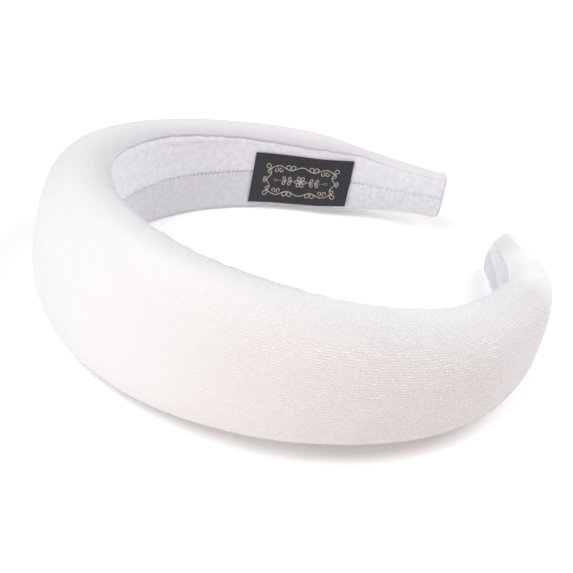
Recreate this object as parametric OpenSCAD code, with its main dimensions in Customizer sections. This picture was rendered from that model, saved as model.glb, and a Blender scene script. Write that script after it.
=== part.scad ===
// Padded velvet headband, lying on its side with the crown towards -Y and the open ends towards +Y.
// Lengths are millimetres and angles are degrees.

/* [Band] */
// Length of the head side, from tip to tip
inner_length = 355; // [320:1:400]
// How far each arm turns between the crown and its tip
arm_turn = 133.5; // [120:0.5:142]
// Width at the crown
crown_width = 40; // [30:0.5:46]
// Width at the tips
tip_width = 14; // [12:0.5:20]
// Lean of the crown, its top edge outwards
crown_lean = -3.5; // [-6:0.5:3]
// Lean of the tips, their top edges outwards
tip_lean = 14; // [0:0.5:18]
// How much higher the labelled arm's tip lies than the other tip
tip_skew = 7; // [0:0.5:8]

/* [Pad] */
// Greatest thickness of the pad
pad_thickness = 18.5; // [12:0.5:22]
// Thickness at the tips
tip_thickness = 4; // [3.4:0.1:5]
// How far the pad's edge rolls past the head side
roll_depth = 0.6; // [0.2:0.1:1.2]
// Where the pad is widest, as a share of its thickness
widest_place = 0.4; // [0.3:0.05:0.5]
// How square the shoulders are, where 2 is an ellipse
squareness = 3.1; // [2.2:0.1:4]
// Radius of the corners at the tips
tip_round = 1.8; // [1:0.1:2.5]

/* [Facings] */
// Greatest distance of the creases in from the pad's edges
crease_inset = 3.3; // [2:0.1:4]
// Thickness of the velvet facings
facing_thickness = 1.2; // [1:0.1:1.6]
// How far a facing swells at its middle
facing_swell = 0.3; // [0:0.05:0.5]
// Gap between the two facings at the mid seam
seam_gap = 0.4; // [0.3:0.1:0.8]
// Clearance round the facings in their channel
facing_gap = 0.2; // [0.15:0.05:0.3]
// How far the facings stop short of the tips
facing_end = 0.8; // [0.5:0.1:1.5]

/* [Label] */
// Length of the label along the arm
label_length = 32.5; // [24:0.5:36]
// Distance from the tip to the label, along the arm
label_to_tip = 31; // [20:1:45]
// Thickness of the label
label_thickness = 0.6; // [0.5:0.05:1]
// Gap between the label and the facings
label_gap = 0.2; // [0.1:0.05:0.3]
// How far the label stays above the lower crease
label_inset = 0.3; // [0.1:0.1:1]
// How far the label's top corner nearest the tip stays below the upper crease
label_margin = 1.3; // [0.4:0.1:3]
// How much lower that corner is than the label's other top corner
label_drop = 1.3; // [0:0.1:2]

/* [Hidden] */

half_length = inner_length / 2;
channel_depth = facing_thickness + facing_gap;

// Sections along one arm, by share of its length from the crown. The width and the thickness of the
// pad run from 1 at their largest to 0 at the tip. The insets of the upper and the lower crease are
// shares of the greatest one.
PLACE = 0;
WIDTH = 1;
THICKNESS = 2;
UPPER_INSET = 3;
LOWER_INSET = 4;
sections = [
    [0.00, 1.00, 0.82, 0.45, 0.45],
    [0.20, 0.90, 0.92, 0.26, 0.26],
    [0.40, 0.67, 1.00, 0.22, 0.22],
    [0.60, 0.51, 0.80, 0.76, 0.26],
    [0.75, 0.42, 0.64, 1.00, 0.26],
    [0.85, 0.21, 0.55, 0.45, 0.24],
    [0.93, 0.09, 0.24, 0.24, 0.20],
    [1.00, 0.00, 0.00, 0.18, 0.18],
];

// How sharply the arm bends, by share of its length, against the bend at the crown
BEND = 1;
bends = [
    [0.00, 1.00],
    [0.25, 0.88],
    [0.50, 0.88],
    [0.70, 0.69],
    [0.85, 0.26],
    [1.00, -0.34],
];

// How late along the arm the lean and the skew grow, as powers of its share
lean_growth = 2.5;
skew_growth = 4;

// Where the rolled edge is steepest, as a share of the way from the crease to the pad's edge
roll_share = 1 / 3;

// An arm may touch the surface below where it lies further back than this share of its length
foot_share = 1 / 4;

arm_steps = 34;
round_steps = 4;
shoulder_steps = 8;
curl_steps = 4;
label_steps = 10;
path_steps = 120;

// A table's column at any place, along a smooth curve through its rows
function rise(table, column, i) =
    (table[i + 1][column] - table[i][column]) / (table[i + 1][PLACE] - table[i][PLACE]);
function slope(table, column, i) =
    i == 0 ? 0 :
    i == len(table) - 1 ? rise(table, column, i - 1) :
    let (before = rise(table, column, i - 1), after = rise(table, column, i))
    before * after <= 0 ? 0 : 2 * before * after / (before + after);
function row_below(table, place, i = 0) =
    i < len(table) - 2 && place > table[i + 1][PLACE] ? row_below(table, place, i + 1) : i;
function smooth(table, column, place) =
    let (
        i = row_below(table, place),
        span = table[i + 1][PLACE] - table[i][PLACE],
        x = (place - table[i][PLACE]) / span,
        start = table[i][column],
        end = table[i + 1][column]
    )
    start + (end - start) * (3 * x * x - 2 * x * x * x)
    + slope(table, column, i) * span * x * (1 - x) * (1 - x)
    - slope(table, column, i + 1) * span * x * x * (1 - x);

// The head side's line, seen from above: headings and points from the crown to one tip
function bend_at(i) = smooth(bends, BEND, (i + 0.5) / path_steps);
turn_sums = [for (i = 0, sum = 0; i <= path_steps; sum = sum + bend_at(i), i = i + 1) sum];
function heading_at(i) = arm_turn * turn_sums[i] / turn_sums[path_steps];
path_stride = half_length / path_steps;
path_points = [
    for (
        i = 0, point = [0, 0];
        i <= path_steps;
        point = point + path_stride * [
            cos((heading_at(i) + heading_at(min(i + 1, path_steps))) / 2),
            sin((heading_at(i) + heading_at(min(i + 1, path_steps))) / 2)
        ],
        i = i + 1
    )
    point
];
headings = [for (i = [0:path_steps]) [i / path_steps, heading_at(i)]];
path_x = [for (i = [0:path_steps]) [i / path_steps, path_points[i].x]];
path_y = [for (i = [0:path_steps]) [i / path_steps, path_points[i].y]];

// Sizes of the section at a place, with the corners of the tip rounded off
function round_off(place) =
    let (to_end = (1 - place) * half_length)
    to_end >= tip_round ? 0 : tip_round - sqrt(tip_round * tip_round - pow(tip_round - to_end, 2));
function width_at(place) =
    tip_width + (crown_width - tip_width) * smooth(sections, WIDTH, place) - 2 * round_off(place);
function thickness_at(place) =
    tip_thickness + (pad_thickness - tip_thickness) * smooth(sections, THICKNESS, place)
    - round_off(place) / 2;
function inset_at(place, column) = crease_inset * smooth(sections, column, abs(place));
function upper_crease(place) = width_at(abs(place)) / 2 - inset_at(place, UPPER_INSET);
function lower_crease(place) = inset_at(place, LOWER_INSET) - width_at(abs(place)) / 2;
function lean_at(place) = crown_lean + (tip_lean - crown_lean) * pow(place, lean_growth);

// A point of a section, from its distance out of the head side and its height, set on the band.
// A place below 0 lies on the labelled arm and a place above 0 on the other arm.
function set_on_band(place, out, up) =
    let (
        side = place < 0 ? -1 : 1,
        along = abs(place),
        lean = lean_at(along),
        reach = out * cos(lean) + up * sin(lean),
        height = up * cos(lean) - out * sin(lean),
        heading = lookup(along, headings)
    )
    [
        side * (lookup(along, path_x) + reach * sin(heading)),
        lookup(along, path_y) - reach * cos(heading),
        height - side * tip_skew / 2 * pow(along, skew_growth)
    ];

// Half of the pad's outline, from a crease over the edge to the middle of the outer face
function pad_half(place, inset) =
    let (
        half_width = width_at(place) / 2,
        thickness = thickness_at(place),
        widest = widest_place * thickness,
        bulge = roll_depth * thickness / pad_thickness,
        roll_start = half_width - inset * (1 - roll_share)
    )
    concat(
        [[0, half_width - inset]],
        [
            for (i = [0:curl_steps])
            let (a = 90 * i / curl_steps)
            [widest - (widest + bulge) * cos(a), roll_start + (half_width - roll_start) * sin(a)]
        ],
        [
            for (i = [1:shoulder_steps])
            let (a = 90 * i / shoulder_steps)
            [
                widest + (thickness - widest) * pow(sin(a), 2 / squareness),
                half_width * pow(max(0, cos(a)), 2 / squareness)
            ]
        ]
    );
function pad_outline(place) =
    let (
        upper = pad_half(abs(place), inset_at(place, UPPER_INSET)),
        lower = pad_half(abs(place), inset_at(place, LOWER_INSET)),
        last = len(lower) - 1
    )
    concat(
        upper,
        [for (i = [last - 1:-1:0]) [lower[i][0], -lower[i][1]]],
        [[channel_depth, lower_crease(place)], [channel_depth, upper_crease(place)]]
    );

// A facing's outline between two heights, swelling a little on the head side
function strip_outline(low, high) = [
    [facing_thickness, low],
    [facing_swell / 2, low],
    [0, (3 * low + high) / 4],
    [-facing_swell / 2, (low + high) / 2],
    [0, (low + 3 * high) / 4],
    [facing_swell / 2, high],
    [facing_thickness, high],
];
function upper_outline(place) = strip_outline(seam_gap / 2, upper_crease(place) - facing_gap);
function lower_outline(place) = strip_outline(lower_crease(place) + facing_gap, -seam_gap / 2);

// The label's outline along the lower crease, its height set by the head side at its end near the tip
label_end = 1 - label_to_tip / half_length;
label_share = label_length / half_length;
end_height = upper_crease(label_end) - lower_crease(label_end) - label_inset - label_margin;
label_back = -facing_swell / 2 - label_gap;
function label_outline(place) =
    let (
        low = lower_crease(place) + label_inset,
        high = low + end_height + label_drop * (label_end - abs(place)) / label_share
    )
    [
        [label_back, low],
        [label_back - label_thickness, low],
        [label_back - label_thickness, high],
        [label_back, high],
    ];

// Places of the sections, from the labelled arm's tip to the other one
round_share = tip_round / half_length;
arm_places = concat(
    [for (i = [0:arm_steps]) (1 - round_share) * i / arm_steps],
    [for (i = [1:round_steps]) 1 - round_share * (1 - sin(90 * i / round_steps))]
);
last_arm_place = len(arm_places) - 1;
places = concat(
    [for (i = [last_arm_place:-1:1]) -arm_places[i]],
    arm_places
);
facing_reach = 1 - facing_end / half_length;
facing_places = [for (place = places) facing_reach * place];
label_places = [for (i = [0:label_steps]) label_share * i / label_steps - label_end];

function ring(place, outline) = [for (p = outline) set_on_band(place, p[0], p[1])];
pad_rings = [for (place = places) ring(place, pad_outline(place))];
upper_rings = [for (place = facing_places) ring(place, upper_outline(place))];
lower_rings = [for (place = facing_places) ring(place, lower_outline(place))];
label_rings = [for (place = label_places) ring(place, label_outline(place))];

// At rest the surface below touches the crown and each arm, and the band is turned to lie level on it
pad_points = [for (r = pad_rings) each r];
function lowest(points) =
    let (low = min([for (p = points) p.z]))
    [for (p = points) if (p.z == low) p][0];
crown_foot = lowest(pad_rings[last_arm_place]);
function grade(p) = (p.z - crown_foot.z) / (p.y - crown_foot.y);
function arm_foot(side) =
    let (
        arm = [for (p = pad_points) if (p.x * side > 0 && p.y > foot_share * half_length) p],
        low = min([for (p = arm) grade(p)])
    )
    [for (p = arm) if (grade(p) == low) p][0];
function unit(v) = v / norm(v);
up_axis = unit(cross(arm_foot(1) - crown_foot, arm_foot(-1) - crown_foot));
right_axis = unit(cross([0, 1, 0], up_axis));
back_axis = cross(up_axis, right_axis);
function lying(p) = [p * right_axis, p * back_axis, p * up_axis];
lying_points = [for (p = pad_points) lying(p)];
lying_x = [for (p = lying_points) p.x];
lying_y = [for (p = lying_points) p.y];
lying_z = [for (p = lying_points) p.z];
origin = [(min(lying_x) + max(lying_x)) / 2, (min(lying_y) + max(lying_y)) / 2, min(lying_z)];

// A closed solid through rings of points
module loft(rings) {
    count = len(rings[0]);
    last = len(rings) - 1;
    points = [for (r = rings) for (p = r) lying(p) - origin];
    sides = [
        for (i = [0:last - 1]) for (j = [0:count - 1])
        let (k = (j + 1) % count)
        each [
            [i * count + j, (i + 1) * count + j, i * count + k],
            [(i + 1) * count + j, (i + 1) * count + k, i * count + k]
        ]
    ];
    start_cap = [for (j = [0:count - 1]) j];
    end_cap = [for (j = [count - 1:-1:0]) last * count + j];
    polyhedron(points, concat(sides, [start_cap, end_cap]), convexity = 6);
}

// Puffed velvet body with a shallow channel along the head side
module padded_cover() {
    color([0.95, 0.94, 0.94]) loft(pad_rings);
}

// Velvet strip of the head side above the mid seam
module upper_facing() {
    color([0.87, 0.86, 0.89]) loft(upper_rings);
}

// Velvet strip of the head side below the mid seam
module lower_facing() {
    color([0.81, 0.80, 0.83]) loft(lower_rings);
}

// Dark label across the head side of one arm
module woven_label() {
    color([0.18, 0.18, 0.22]) loft(label_rings);
}

padded_cover();
upper_facing();
lower_facing();
woven_label();
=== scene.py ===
import math
import bmesh
import bpy
import numpy as np
from mathutils import Matrix, Vector


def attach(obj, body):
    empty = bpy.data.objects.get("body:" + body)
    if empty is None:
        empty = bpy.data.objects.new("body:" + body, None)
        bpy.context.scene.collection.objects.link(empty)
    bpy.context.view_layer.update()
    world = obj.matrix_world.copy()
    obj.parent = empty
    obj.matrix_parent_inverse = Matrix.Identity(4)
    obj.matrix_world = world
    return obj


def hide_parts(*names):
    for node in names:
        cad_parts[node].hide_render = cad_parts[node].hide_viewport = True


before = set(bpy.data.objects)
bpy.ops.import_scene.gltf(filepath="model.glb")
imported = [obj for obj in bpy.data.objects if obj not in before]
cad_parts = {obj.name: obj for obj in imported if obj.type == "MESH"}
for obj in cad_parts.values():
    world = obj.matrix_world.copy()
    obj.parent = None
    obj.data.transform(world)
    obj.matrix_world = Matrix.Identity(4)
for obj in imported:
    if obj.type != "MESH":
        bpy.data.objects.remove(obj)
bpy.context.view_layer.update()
print("frame loaded:", ", ".join(sorted(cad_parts)))

mm = 0.001  # the meshes are in metres, and every length but those of the studio is in millimetres

# The band's line and its section, with the driving sizes of the solids, except that the corners at
# the tips are sharper (tipRound is 1.8 there)
band = {
    "innerLength": 355,
    "armTurn": 133.5,
    "crownWidth": 40,
    "tipWidth": 14,
    "crownLean": -3.5,
    "tipLean": 14,
    "leanGrowth": 2.5,
    "tipSkew": 7,
    "skewGrowth": 4,
    "padThickness": 18.5,
    "tipThickness": 4,
    "widestPlace": 0.4,
    "squareness": 3.1,
    "tipRound": 1.3,
    "creaseInset": 3.3,
    # place, width, thickness, inset of the upper crease, inset of the lower crease
    "sections": (
        (0.00, 1.00, 0.82, 0.45, 0.45),
        (0.20, 0.90, 0.92, 0.26, 0.26),
        (0.40, 0.67, 1.00, 0.22, 0.22),
        (0.60, 0.51, 0.80, 0.76, 0.26),
        (0.75, 0.42, 0.64, 1.00, 0.26),
        (0.85, 0.21, 0.55, 0.45, 0.24),
        (0.93, 0.09, 0.24, 0.24, 0.20),
        (1.00, 0.00, 0.00, 0.18, 0.18),
    ),
    # place, bend
    "bends": (
        (0.00, 1.00), (0.25, 0.88), (0.50, 0.88), (0.70, 0.69), (0.85, 0.26), (1.00, -0.34),
    ),
}
halfLength = band["innerLength"] / 2


def smooth(rows, column, places):  # a smooth line through a table's rows, with no overshoot
    table = np.array(rows, float)
    x, y = table[:, 0], table[:, column]
    rises = np.diff(y) / np.diff(x)
    slopes = np.append(np.zeros(len(x) - 1), rises[-1])
    before, after = rises[:-1], rises[1:]
    level = before * after <= 0
    slopes[1:-1] = np.where(level, 0, 2 * before * after / np.where(level, 1, before + after))
    i = np.clip(np.searchsorted(x, places) - 1, 0, len(x) - 2)
    span = x[i + 1] - x[i]
    t = (places - x[i]) / span
    return (
        y[i]
        + (y[i + 1] - y[i]) * (3 * t**2 - 2 * t**3)
        + slopes[i] * span * t * (1 - t) ** 2
        - slopes[i + 1] * span * t**2 * (1 - t)
    )


def onArms(rows, places, column=1):  # a table that both arms share, at places from -1 to 1
    return smooth(rows, column, np.abs(places))


def onNearArm(rows, places):  # a table for the arm without the label, the nearer one in the photo
    return np.where(places > 0, onArms(rows, places), 0)


# The centre line of one arm, from the crown to its tip
pathSteps = 120
pathPlaces = np.linspace(0, 1, pathSteps + 1)
stepBends = smooth(band["bends"], 1, pathPlaces[:-1] + 0.5 / pathSteps)
turnSums = np.append(0, np.cumsum(stepBends))
headings = np.radians(band["armTurn"]) * turnSums / turnSums[-1]
strideHeadings = (headings[1:] + headings[:-1]) / 2
pathX = np.append(0, np.cumsum(np.cos(strideHeadings))) * halfLength / pathSteps
pathY = np.append(0, np.cumsum(np.sin(strideHeadings))) * halfLength / pathSteps


def roundOff(places):  # how much the very tips are rounded off
    radius = band["tipRound"]
    toEnd = np.clip((1 - np.abs(places)) * halfLength, 0, radius)
    return radius - np.sqrt(radius**2 - (radius - toEnd) ** 2)


def widthAt(places):
    more = (band["crownWidth"] - band["tipWidth"]) * onArms(band["sections"], places)
    return band["tipWidth"] + more - 2 * roundOff(places)


def thicknessAt(places):
    more = (band["padThickness"] - band["tipThickness"]) * onArms(band["sections"], places, 2)
    return band["tipThickness"] + more - roundOff(places) / 2


def upperInset(places):
    return band["creaseInset"] * onArms(band["sections"], places, 3)


def lowerInset(places):
    return band["creaseInset"] * onArms(band["sections"], places, 4)


def setOnBand(places, out, up):  # places along the band, millimetres out from the head side and up
    along = np.abs(places)
    side = np.where(places < 0, -1, 1)
    leaning = (band["tipLean"] - band["crownLean"]) * along ** band["leanGrowth"]
    lean = np.radians(band["crownLean"] + leaning)
    reach = out * np.cos(lean) + up * np.sin(lean)
    height = up * np.cos(lean) - out * np.sin(lean)
    heading = np.interp(along, pathPlaces, headings)
    return np.stack(
        [
            side * (np.interp(along, pathPlaces, pathX) + reach * np.sin(heading)),
            np.interp(along, pathPlaces, pathY) - reach * np.cos(heading),
            height - side * band["tipSkew"] / 2 * along ** band["skewGrowth"],
        ],
        -1,
    )


def wander(along, spacing, seed):  # a smooth random curve along the band, from -1 to 1
    knots = np.arange(-halfLength - 3 * spacing, halfLength + 3 * spacing, spacing)
    values = np.random.default_rng(seed).uniform(-1, 1, len(knots))
    at = (along - knots[0]) / spacing
    i = np.clip(at.astype(int), 0, len(knots) - 2)
    t = at - i
    return values[i] + (values[i + 1] - values[i]) * (3 * t**2 - 2 * t**3)


def fadeOut(places, start, end):  # 1 near the crown, 0 towards both tips
    t = np.clip((np.abs(places) - start) / (end - start), 0, 1)
    return 1 - t * t * (3 - 2 * t)


# The cover's skin, from the upper crease over the outer face to the lower crease. Keys that start
# with near are for the arm without the label alone, and ranges are places where a thing fades
cover = {
    # the mesh
    "rings": 540,
    "closeRings": 4,  # more of them where the strips end
    "skinPoints": 161,
    "floorPoints": 12,
    "lipPoints": 14,
    "curlPoints": 26,
    "shoulderPoints": 64,
    "crowding": 1.6,  # how much closer the points lie near the creases
    # the groove that the strips lie in
    "grooveDepth": 1.2,
    "grooveFloor": 1.4,
    "grooveParts": 3,  # it takes at most a third of the thickness
    "floorParts": 2,
    "grooveStep": 0.05,
    "grooveEnd": 1.5,  # steps from the strips' ends to where the groove closes
    "lipWidth": 0.8,
    "lipShare": 0.6,
    "lipShape": 2,
    "lipStart": 0.03,
    # the foam thins out at the tips, where the crease keeps this share of its inset
    "tipCrease": 0.75,
    "lowerTipCrease": 0.5,
    "creaseThins": (0.7, 0.9),
    # place, the greatest height of the upper crease, since this arm's cover reaches over the strip
    "nearTipCrease": (
        (0.00, 30), (0.55, 12), (0.66, 9.6), (0.74, 7.0), (0.80, 5.2), (0.88, 4.0),
        (0.94, 3.0), (1.00, 2.0),
    ),
    # the cloth is folded in at both tips, which thickens them a little
    "tipKnob": 0.8,
    "tipKnobReach": 3.5,
    # and shows as a soft groove across the near one
    "foldDepth": 0.4,
    "foldPlace": 4.4,
    "foldWidth": 1.0,
    "foldFade": 8,
    # the section turns into a plain oval towards the tips, sooner on the near arm
    "ovalShare": 0.6,
    "ovalRange": (0.76, 0.94),
    "nearOvalEarly": 0.1,
    "tipDome": 0.6,
    "domeRings": 7,
    "domeShape": (0.5, 0.7),
    "domeInward": 4,  # rings between the two that give its direction
    "domeLeast": 0.0004,
    "upperRoll": 0.25,
    # place, how much further it rolls in again, most inside the bend
    "nearRoll": (
        (0.00, 0.0), (0.25, 0.6), (0.50, 0.6), (0.60, 2.0), (0.67, 2.0), (0.78, 0.8),
        (1.00, 0.4),
    ),
    "lowerRoll": 0.02,
    "lowerCrease": 0.45,  # the lower strip reaches closer to the edge than in the solids
    "rollShape": 1.6,
    "upperSquareness": 2.7,
    "creaseWave": 0.16,
    "creaseSpacing": 1.7,
    "puffFade": 2,
    "puckerDepth": 0.28,
    "puckerStart": 0.8,
    "puckerReach": 2.6,
    "puckerSpacing": 2.6,
    "puckerGroup": 4,  # they come in groups of about this many
    "unevenness": 0.16,
    "unevenFade": 5,
    # spacing of the foam's waves along the band, and how wide they are round it
    "unevenWaves": ((17, 11), (11.9, 8)),
    # place, how much higher the upper edge puffs up, how much lower its crease lies
    "crest": (
        (0.00, 1.0, 0.4), (0.12, 1.2, 0.6), (0.22, 0.9, 0.7), (0.30, 0.5, 0.8),
        (0.45, 0.1, 0.7), (0.60, 0.3, 0.5), (0.71, 0.3, 0.9), (0.82, -0.1, 0.3),
        (1.00, 0.1, 0.0),
    ),
    # place, how much higher again
    "nearCrest": (
        (0.00, 0.0), (0.12, -0.1), (0.25, -0.5), (0.35, -0.4), (0.50, 0.1), (0.57, 1.2),
        (0.63, 1.9), (0.72, 1.0), (0.80, 0.5), (0.90, 0.2), (1.00, 0.0),
    ),
    # place, how much lower the lower edge hangs
    "sag": (
        (0.00, 0.0), (0.15, -0.4), (0.30, -0.85), (0.50, -0.1), (0.62, -0.3), (0.69, -0.8),
        (0.75, -0.4), (0.80, 0.5), (0.84, 1.2), (0.90, 0.8), (0.95, 0.8), (1.00, 1.6),
    ),
    # place, how much further the outer face puffs out
    "puff": (
        (0.00, 0.1), (0.15, 0.4), (0.30, 0.35), (0.45, 0.4), (0.60, 0.2), (0.70, 0.3),
        (0.80, 0.5), (0.90, 0.0), (1.00, 0.0),
    ),
    # painted shade beside the upper crease, most on the label's arm, partly the pile pressed there
    "creaseShade": 5.5,
    # place, share of that
    "creaseShares": (
        (-1.00, 1.8), (-0.45, 1.8), (-0.20, 0.85), (0.00, 0.6), (0.15, 0.2), (1.00, 0.2),
    ),
    # painted shade: a little darker at the tip with the label
    "farTipShade": 0.8,
    "farTipRange": (0.75, 0.95),
    # painted light on the near arm's upper roll, partly the pile raised there, and less so at its
    # very tip
    "nearRollLight": 1.9,
    "nearRollLightRange": (0.10, 0.45),
    "nearRollLightAtTip": 0.2,
    "nearRollLightFades": (0.83, 0.95),
    "nearTipCoverLight": 0.2,
    "nearTipRange": (0.80, 0.88),
    "rollLightReach": 16,
    # the rows lie closer where the cloth is eased round the near arm's bend
    "nearRows": 0.45,
    "nearRowsRange": (0.68, 0.88),
}
# How far the joining strips stop short of the tips, and how close they lie to the cover
facingEnd = 0.3
facingFit = 0.04
facingReach = 1 - facingEnd / halfLength


def crestAt(places):
    return onArms(cover["crest"], places) + onNearArm(cover["nearCrest"], places)


def halfAt(places, side):  # the height of the upper edge, or the depth of the lower one
    return widthAt(places) / 2 + (crestAt(places) if side > 0 else onArms(cover["sag"], places))


def padAt(places):  # the thickness of the pad, with the cloth folded in at the tips
    toEnd = (1 - np.abs(places)) * halfLength
    knob = cover["tipKnob"] * np.exp(-((toEnd / cover["tipKnobReach"]) ** 2))
    return thicknessAt(places) + onArms(cover["puff"], places) + knob


def tipFold(places):  # at the near tip alone
    toEnd = (1 - places) * halfLength
    return cover["foldDepth"] * np.exp(-(((toEnd - cover["foldPlace"]) / cover["foldWidth"]) ** 2))


def puffedAt(places):  # 1 where the foam puffs up beside the crease, 0 where the section is an oval
    early = np.where(places > 0, cover["nearOvalEarly"], 0)
    return fadeOut(np.abs(places) + early, *cover["ovalRange"])


def creaseInset(places, side):  # how far the crease lies from the edge
    thins = 1 - fadeOut(places, *cover["creaseThins"])
    least = band["creaseInset"] * cover["tipCrease"] * thins
    if side < 0:
        inset = lowerInset(places) * cover["lowerCrease"]
        return np.maximum(inset, least * cover["lowerTipCrease"])
    inset = upperInset(places) + crestAt(places) + onArms(cover["crest"], places, 2)
    lowered = halfAt(places, side) - onArms(cover["nearTipCrease"], places)
    return np.maximum(np.maximum(inset, least), np.where(places > 0, lowered, 0))


def creaseLine(places, side):  # the height of the crease, a little ragged under the puffed part
    puffed = puffedAt(places)
    ragged = wander(places * halfLength, cover["creaseSpacing"], 11 if side > 0 else 12) * puffed
    return halfAt(places, side) - creaseInset(places, side) + cover["creaseWave"] * ragged


def ovalOut(places, up):  # how far the oval section at the tips falls back from the flat head side
    half = np.where(up > 0, halfAt(places, 1), halfAt(places, -1))
    return cover["ovalShare"] * padAt(places) * (1 - np.sqrt(np.clip(1 - (up / half) ** 2, 0, 1)))


def pastStrips(places):  # true where the strips have ended and the cover closes
    end = facingReach + cover["grooveEnd"] * cover["grooveStep"] / halfLength
    return np.abs(places)[:, None] > end


def halfProfile(places, side):  # from the groove over the edge to the middle of the outer face
    half = halfAt(places, side)[:, None]
    thickness = padAt(places)[:, None]
    puffed = puffedAt(places)[:, None]
    crease = creaseLine(places, side)[:, None]
    widest = band["widestPlace"] * thickness
    upperBulge = cover["upperRoll"] + onNearArm(cover["nearRoll"], places)[:, None]
    bulge = upperBulge if side > 0 else cover["lowerRoll"]
    bulge = bulge * thickness / band["padThickness"]
    lipEnd = crease + np.minimum(cover["lipWidth"], cover["lipShare"] * (half - crease))
    edgeOut = ovalOut(places[:, None], crease * side)
    deep = np.minimum(cover["grooveDepth"], thickness / cover["grooveParts"])
    groove = np.where(pastStrips(places), edgeOut, edgeOut * (1 - puffed) + deep)
    lip, curl, shoulder = [
        np.radians(np.linspace(0, 90, cover[key]))[None]
        for key in ("lipPoints", "curlPoints", "shoulderPoints")
    ]
    lip, curl = lip[:, :-1], curl[:, :-1]
    power = 2 / (cover["upperSquareness"] if side > 0 else band["squareness"])
    # under the puffed part the edge rises straight from the crease, then rolls out over it
    edge = cover["lipStart"]
    rise = cover["rollShape"] if side > 0 else 1
    out = np.hstack(
        [
            groove,
            edge - (edge + bulge) * np.sin(lip) ** cover["lipShape"],
            widest - (widest + bulge) * np.cos(curl),
        ]
    )
    up = np.hstack(
        [
            crease,
            crease + (lipEnd - crease) * lip / (math.pi / 2),
            lipEnd + (half - lipEnd) * np.sin(curl) ** rise,
        ]
    )
    ovalWidest = cover["ovalShare"] * thickness
    # at the tips one oval runs on from the head side over the edge
    first = np.arcsin(np.clip(crease / half, 0, 1))
    turn = first + (math.pi / 2 - first) * curl / (math.pi / 2)
    ovalOuts = np.hstack([groove, edgeOut + 0 * lip, ovalWidest * (1 - np.cos(turn))])
    ovalUps = np.hstack([crease, crease + 0 * lip, half * np.sin(turn)])
    widest = widest + (ovalWidest - widest) * (1 - puffed)
    out = ovalOuts + (out - ovalOuts) * puffed
    up = ovalUps + (up - ovalUps) * puffed
    shoulderOut = widest + (thickness - widest) * np.sin(shoulder) ** power
    shoulderUp = half * np.clip(np.cos(shoulder), 0, 1) ** power
    return np.hstack([out, shoulderOut]), np.hstack([up, shoulderUp])


def respread(out, up, count):  # the same profile with its points closer near the crease
    steps = np.hypot(np.diff(out, axis=1), np.diff(up, axis=1))
    distance = np.hstack([np.zeros((len(out), 1)), np.cumsum(steps, 1)])
    crowding = cover["crowding"]
    wanted = np.expm1(crowding * np.linspace(0, 1, count)) / math.expm1(crowding)
    rows = []
    for o, u, d in zip(out, up, distance):
        at = wanted * d[-1]
        rows.append((np.interp(at, d, o), np.interp(at, d, u), at))
    rows = np.array(rows)
    return rows[:, 0], rows[:, 1], rows[:, 2]


def coverSkin():  # its rings' places, their points, and how far round the section each point is
    reachStep = cover["grooveStep"] / halfLength
    places = np.linspace(-1, 1, cover["rings"])
    room = (cover["closeRings"] + 1) * reachStep
    places = places[np.abs(np.abs(places) - facingReach) > room]
    close = facingReach + np.arange(1, cover["closeRings"] + 1) * reachStep
    places = np.sort(np.concatenate([places, -close, close]))
    count = cover["skinPoints"] // 2 + 1
    upOut, upUp, upRun = respread(*halfProfile(places, 1), count)
    lowOut, lowUp, lowRun = respread(*halfProfile(places, -1), count)
    out = np.hstack([upOut, lowOut[:, -2::-1]])
    up = np.hstack([upUp, -lowUp[:, -2::-1]])
    girth = np.hstack([upRun[:, -1:] - upRun, lowRun[:, -2::-1] - lowRun[:, -1:]])
    return places, out, up, girth


skinPlaces, skinOut, skinUp, skinGirth = coverSkin()
skinRest = setOnBand(skinPlaces[:, None], skinOut, skinUp)


# How the solids lie, with the crown and both arms on the surface below: the upward axis in the
# band's own axes, and the middle of the crown in the frame
lying = {"up": (0.02121, -0.06136, 0.99789), "place": (-0.026, -58.496, 19.759)}
upAxis = np.array(lying["up"]) / np.linalg.norm(lying["up"])
rightAxis = np.cross((0, 1, 0), upAxis)
rightAxis /= np.linalg.norm(rightAxis)
levelTurn = np.stack([rightAxis, np.cross(upAxis, rightAxis), upAxis])
levelPlace = np.array(lying["place"]) * mm


def lie(points):  # from the band's own millimetres to metres in the frame
    return points @ levelTurn.T * mm + levelPlace


def faceOutwards(mesh):
    work = bmesh.new()
    work.from_mesh(mesh)
    bmesh.ops.recalc_face_normals(work, faces=work.faces)
    work.to_mesh(mesh)
    work.free()


sharpAngle = 55  # an edge that bends more than this stays sharp, such as a cloth's rim


def addMesh(name, points, faces, material, mapping, napAndShade=None):
    mesh = bpy.data.meshes.new(name)
    mesh.from_pydata(points.reshape(-1, 3).tolist(), [], [tuple(f) for f in faces])
    layer = mesh.uv_layers.new(name="clothMap")  # the cloth laid flat, in millimetres
    corners = np.zeros(len(mesh.loops), int)
    mesh.loops.foreach_get("vertex_index", corners)
    layer.uv.foreach_set("vector", mapping.reshape(-1, 2)[corners].astype(np.float32).ravel())
    if napAndShade is not None:  # painted shade below 0 and painted light above, partly how the pile lies
        layer = mesh.attributes.new("napAndShade", "FLOAT", "POINT")
        layer.data.foreach_set("value", napAndShade.astype(np.float32).ravel())
    faceOutwards(mesh)
    mesh.polygons.foreach_set("use_smooth", np.ones(len(mesh.polygons), bool))
    mesh.set_sharp_from_angle(angle=math.radians(sharpAngle))
    mesh.materials.append(material)
    piece = bpy.data.objects.new(name, mesh)
    bpy.context.scene.collection.objects.link(piece)
    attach(piece, "root")
    return piece


def tubeFaces(rings, count):  # faces round closed rings, with both ends closed
    i, j = np.meshgrid(np.arange(rings - 1), np.arange(count), indexing="ij")
    k = (j + 1) % count
    here, there = i * count, (i + 1) * count
    sides = np.stack([here + j, there + j, there + k, here + k], -1).reshape(-1, 4)
    last = (rings - 1) * count
    return [*sides.tolist(), list(range(count)), [last + j for j in range(count - 1, -1, -1)]]


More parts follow.
